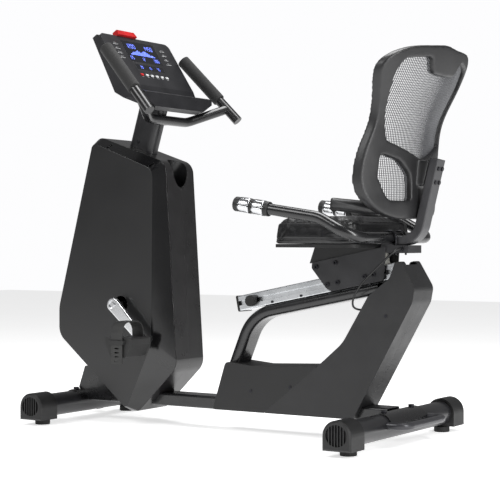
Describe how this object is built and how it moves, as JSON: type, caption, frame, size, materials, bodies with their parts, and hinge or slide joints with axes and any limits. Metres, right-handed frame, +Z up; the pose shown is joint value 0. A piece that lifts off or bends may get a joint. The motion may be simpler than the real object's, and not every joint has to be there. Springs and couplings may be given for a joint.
{
  "type": "recumbent exercise bike",
  "caption": "Recumbent exercise bike with enclosed flywheel drive, console mast and handlebars, and a mesh-backed seat sliding on an inclined rail.",
  "frame": {"origin": "on the floor, under the middle of the overall box", "axes": "+Z up, +X from the pedals towards the seat, -Y the rider's left"},
  "size_m": [1.4346, 0.74, 1.2678],
  "materials": {
    "backrest_frame": "fine-textured black plastic",
    "backrest_mesh": "open woven mesh",
    "backrest_upright": "satin grey powder coat",
    "base_cover": "fine-textured black plastic",
    "bottle_pocket": "smooth black plastic",
    "carriage_glides": "white nylon",
    "console_face": "textured charcoal plastic",
    "console_housing": "textured black plastic",
    "console_key_1": "soft-touch key",
    "console_key_2": "soft-touch key",
    "console_key_3": "soft-touch key",
    "console_key_4": "soft-touch key",
    "console_key_5": "soft-touch key",
    "console_key_6": "soft-touch key",
    "crank_arms": "polished aluminium",
    "crank_axle": "ground steel",
    "crank_bearings": "bearing steel",
    "display_window": "tinted display window",
    "drive_belt": "ribbed rubber belt",
    "drive_frame": "satin black powder coat",
    "drive_pulley": "moulded nylon",
    "flywheel": "machined cast iron",
    "frame_fittings": "black oxide steel",
    "front_stabiliser": "satin charcoal powder coat",
    "handlebar": "satin black powder coat",
    "handlebar_grips": "closed-cell foam",
    "levelling_foot_front_left": "black rubber",
    "levelling_foot_front_right": "black rubber",
    "levelling_foot_rear_left": "black rubber",
    "levelling_foot_rear_right": "black rubber",
    "lift_handle": "satin charcoal powder coat",
    "magnet_brake": "zinc-plated steel",
    "main_beam": "satin black powder coat",
    "mast": "satin charcoal powder coat",
    "pedal_left": "black nylon",
    "pedal_right": "black nylon",
    "pedal_strap_left": "soft grey-black rubber",
    "pedal_strap_right": "soft grey-black rubber",
    "pulse_grips": "steel contact plates on black sleeves",
    "rail_end_stops": "black rubber",
    "rail_support": "satin charcoal powder coat",
    "rear_stabiliser": "satin charcoal powder coat",
    "seat_base": "black plastic pan",
    "seat_carriage": "satin charcoal powder coat",
    "seat_cushion": "black vinyl over foam",
    "seat_fittings": "black oxide steel",
    "seat_handlebar": "satin black powder coat",
    "seat_lock_lever": "satin black powder coat",
    "seat_rail": "bright anodised aluminium",
    "sensor_cable": "black cable sheath",
    "shroud_left": "satin black plastic",
    "shroud_right": "satin black plastic",
    "side_panel_left": "satin black plastic with gloss bevel",
    "side_panel_right": "satin black plastic with gloss bevel",
    "stabiliser_end_caps": "fine-textured black plastic",
    "tablet_clip": "red plastic",
    "tower_cover_left": "satin charcoal plastic",
    "tower_cover_right": "satin charcoal plastic",
    "transport_wheel_left": "black polyurethane",
    "transport_wheel_right": "black polyurethane"
  },
  "bodies": {
    "frame": {"main_beam": "main_beam", "front_stabiliser": "front_stabiliser", "rear_stabiliser": "rear_stabiliser", "stabiliser_end_caps": "stabiliser_end_caps", "lift_handle": "lift_handle", "drive_frame": "drive_frame", "crank_bearings": "crank_bearings", "drive_belt": "drive_belt", "magnet_brake": "magnet_brake", "shroud_left": "shroud_left", "shroud_right": "shroud_right", "side_panel_left": "side_panel_left", "side_panel_right": "side_panel_right", "bottle_pocket": "bottle_pocket", "console_housing": "console_housing", "console_face": "console_face", "display_window": "display_window", "mast": "mast", "handlebar": "handlebar", "handlebar_grips": "handlebar_grips", "seat_rail": "seat_rail", "rail_end_stops": "rail_end_stops", "rail_support": "rail_support", "base_cover": "base_cover", "tower_cover_left": "tower_cover_left", "tower_cover_right": "tower_cover_right", "frame_fittings": "frame_fittings"},
    "flywheel": {"flywheel": "flywheel"},
    "crank": {"crank_axle": "crank_axle", "drive_pulley": "drive_pulley", "crank_arms": "crank_arms"},
    "pedal_left": {"pedal_left": "pedal_left", "pedal_strap_left": "pedal_strap_left"},
    "pedal_right": {"pedal_right": "pedal_right", "pedal_strap_right": "pedal_strap_right"},
    "transport_wheel_left": {"transport_wheel_left": "transport_wheel_left"},
    "transport_wheel_right": {"transport_wheel_right": "transport_wheel_right"},
    "tablet_clip": {"tablet_clip": "tablet_clip"},
    "levelling_foot_front_left": {"levelling_foot_front_left": "levelling_foot_front_left"},
    "levelling_foot_front_right": {"levelling_foot_front_right": "levelling_foot_front_right"},
    "levelling_foot_rear_left": {"levelling_foot_rear_left": "levelling_foot_rear_left"},
    "levelling_foot_rear_right": {"levelling_foot_rear_right": "levelling_foot_rear_right"},
    "console_key_1": {"console_key_1": "console_key_1"},
    "console_key_2": {"console_key_2": "console_key_2"},
    "console_key_3": {"console_key_3": "console_key_3"},
    "console_key_4": {"console_key_4": "console_key_4"},
    "console_key_5": {"console_key_5": "console_key_5"},
    "console_key_6": {"console_key_6": "console_key_6"},
    "seat": {"seat_carriage": "seat_carriage", "carriage_glides": "carriage_glides", "seat_base": "seat_base", "seat_cushion": "seat_cushion", "seat_handlebar": "seat_handlebar", "pulse_grips": "pulse_grips", "backrest_upright": "backrest_upright", "backrest_frame": "backrest_frame", "backrest_mesh": "backrest_mesh", "seat_fittings": "seat_fittings", "sensor_cable": "sensor_cable"},
    "seat_lock_lever": {"seat_lock_lever": "seat_lock_lever"}
  },
  "joints": [
    {"name": "flywheel_spin", "type": "hinge", "parent": "frame", "child": "flywheel", "pos_m": [-0.4363, 0, 0.64], "axis": [0, 1, 0], "continuous": true},
    {"name": "crank_spin", "type": "hinge", "parent": "frame", "child": "crank", "pos_m": [-0.3953, 0, 0.386], "axis": [0, 1, 0], "continuous": true},
    {"name": "pedal_left_spin", "type": "hinge", "parent": "crank", "child": "pedal_left", "pos_m": [-0.28142, -0.218, 0.27793], "axis": [0, 1, 0], "continuous": true},
    {"name": "pedal_right_spin", "type": "hinge", "parent": "crank", "child": "pedal_right", "pos_m": [-0.50918, 0.218, 0.49407], "axis": [0, 1, 0], "continuous": true},
    {"name": "transport_wheel_left_spin", "type": "hinge", "parent": "frame", "child": "transport_wheel_left", "pos_m": [-0.6873, -0.15, 0.038], "axis": [0, 1, 0], "continuous": true},
    {"name": "transport_wheel_right_spin", "type": "hinge", "parent": "frame", "child": "transport_wheel_right", "pos_m": [-0.6873, 0.15, 0.038], "axis": [0, 1, 0], "continuous": true},
    {"name": "levelling_foot_front_left_turn", "type": "hinge", "parent": "frame", "child": "levelling_foot_front_left", "pos_m": [-0.6213, -0.222, 0.0085], "axis": [0, 0, 1], "continuous": true},
    {"name": "levelling_foot_front_right_turn", "type": "hinge", "parent": "frame", "child": "levelling_foot_front_right", "pos_m": [-0.6213, 0.222, 0.0085], "axis": [0, 0, 1], "continuous": true},
    {"name": "levelling_foot_rear_left_turn", "type": "hinge", "parent": "frame", "child": "levelling_foot_rear_left", "pos_m": [0.5397, -0.3, 0.0085], "axis": [0, 0, 1], "continuous": true},
    {"name": "levelling_foot_rear_right_turn", "type": "hinge", "parent": "frame", "child": "levelling_foot_rear_right", "pos_m": [0.5397, 0.3, 0.0085], "axis": [0, 0, 1], "continuous": true},
    {"name": "tablet_clip_slide", "type": "slide", "parent": "frame", "child": "tablet_clip", "axis": [-0.5446, 0, 0.8387], "range_m": [0, 0.06], "stiffness_N_per_m": 120, "springref_m": -0.02},
    {"name": "console_key_1_press", "type": "slide", "parent": "frame", "child": "console_key_1", "axis": [-0.8387, 0, -0.5446], "range_m": [0, 0.0012], "stiffness_N_per_m": 800, "springref_m": -0.001},
    {"name": "console_key_2_press", "type": "slide", "parent": "frame", "child": "console_key_2", "axis": [-0.8387, 0, -0.5446], "range_m": [0, 0.0012], "stiffness_N_per_m": 800, "springref_m": -0.001},
    {"name": "console_key_3_press", "type": "slide", "parent": "frame", "child": "console_key_3", "axis": [-0.8387, 0, -0.5446], "range_m": [0, 0.0012], "stiffness_N_per_m": 800, "springref_m": -0.001},
    {"name": "console_key_4_press", "type": "slide", "parent": "frame", "child": "console_key_4", "axis": [-0.8387, 0, -0.5446], "range_m": [0, 0.0012], "stiffness_N_per_m": 800, "springref_m": -0.001},
    {"name": "console_key_5_press", "type": "slide", "parent": "frame", "child": "console_key_5", "axis": [-0.8387, 0, -0.5446], "range_m": [0, 0.0012], "stiffness_N_per_m": 800, "springref_m": -0.001},
    {"name": "console_key_6_press", "type": "slide", "parent": "frame", "child": "console_key_6", "axis": [-0.8387, 0, -0.5446], "range_m": [0, 0.0012], "stiffness_N_per_m": 800, "springref_m": -0.001},
    {"name": "seat_slide", "type": "slide", "parent": "frame", "child": "seat", "axis": [-0.9803, 0, -0.1977], "range_m": [0, 0.235]},
    {"name": "seat_lock_lift", "type": "hinge", "parent": "seat", "child": "seat_lock_lever", "pos_m": [0.40524, 0.058, 0.5108], "axis": [0, 1, 0], "range_deg": [0, 15], "stiffness_Nm_per_rad": 1, "springref_deg": -17.19}
  ],
  "couplings": [
    {"joint": "crank_spin", "follows": "flywheel_spin", "ratio": 0.13043}
  ]
}
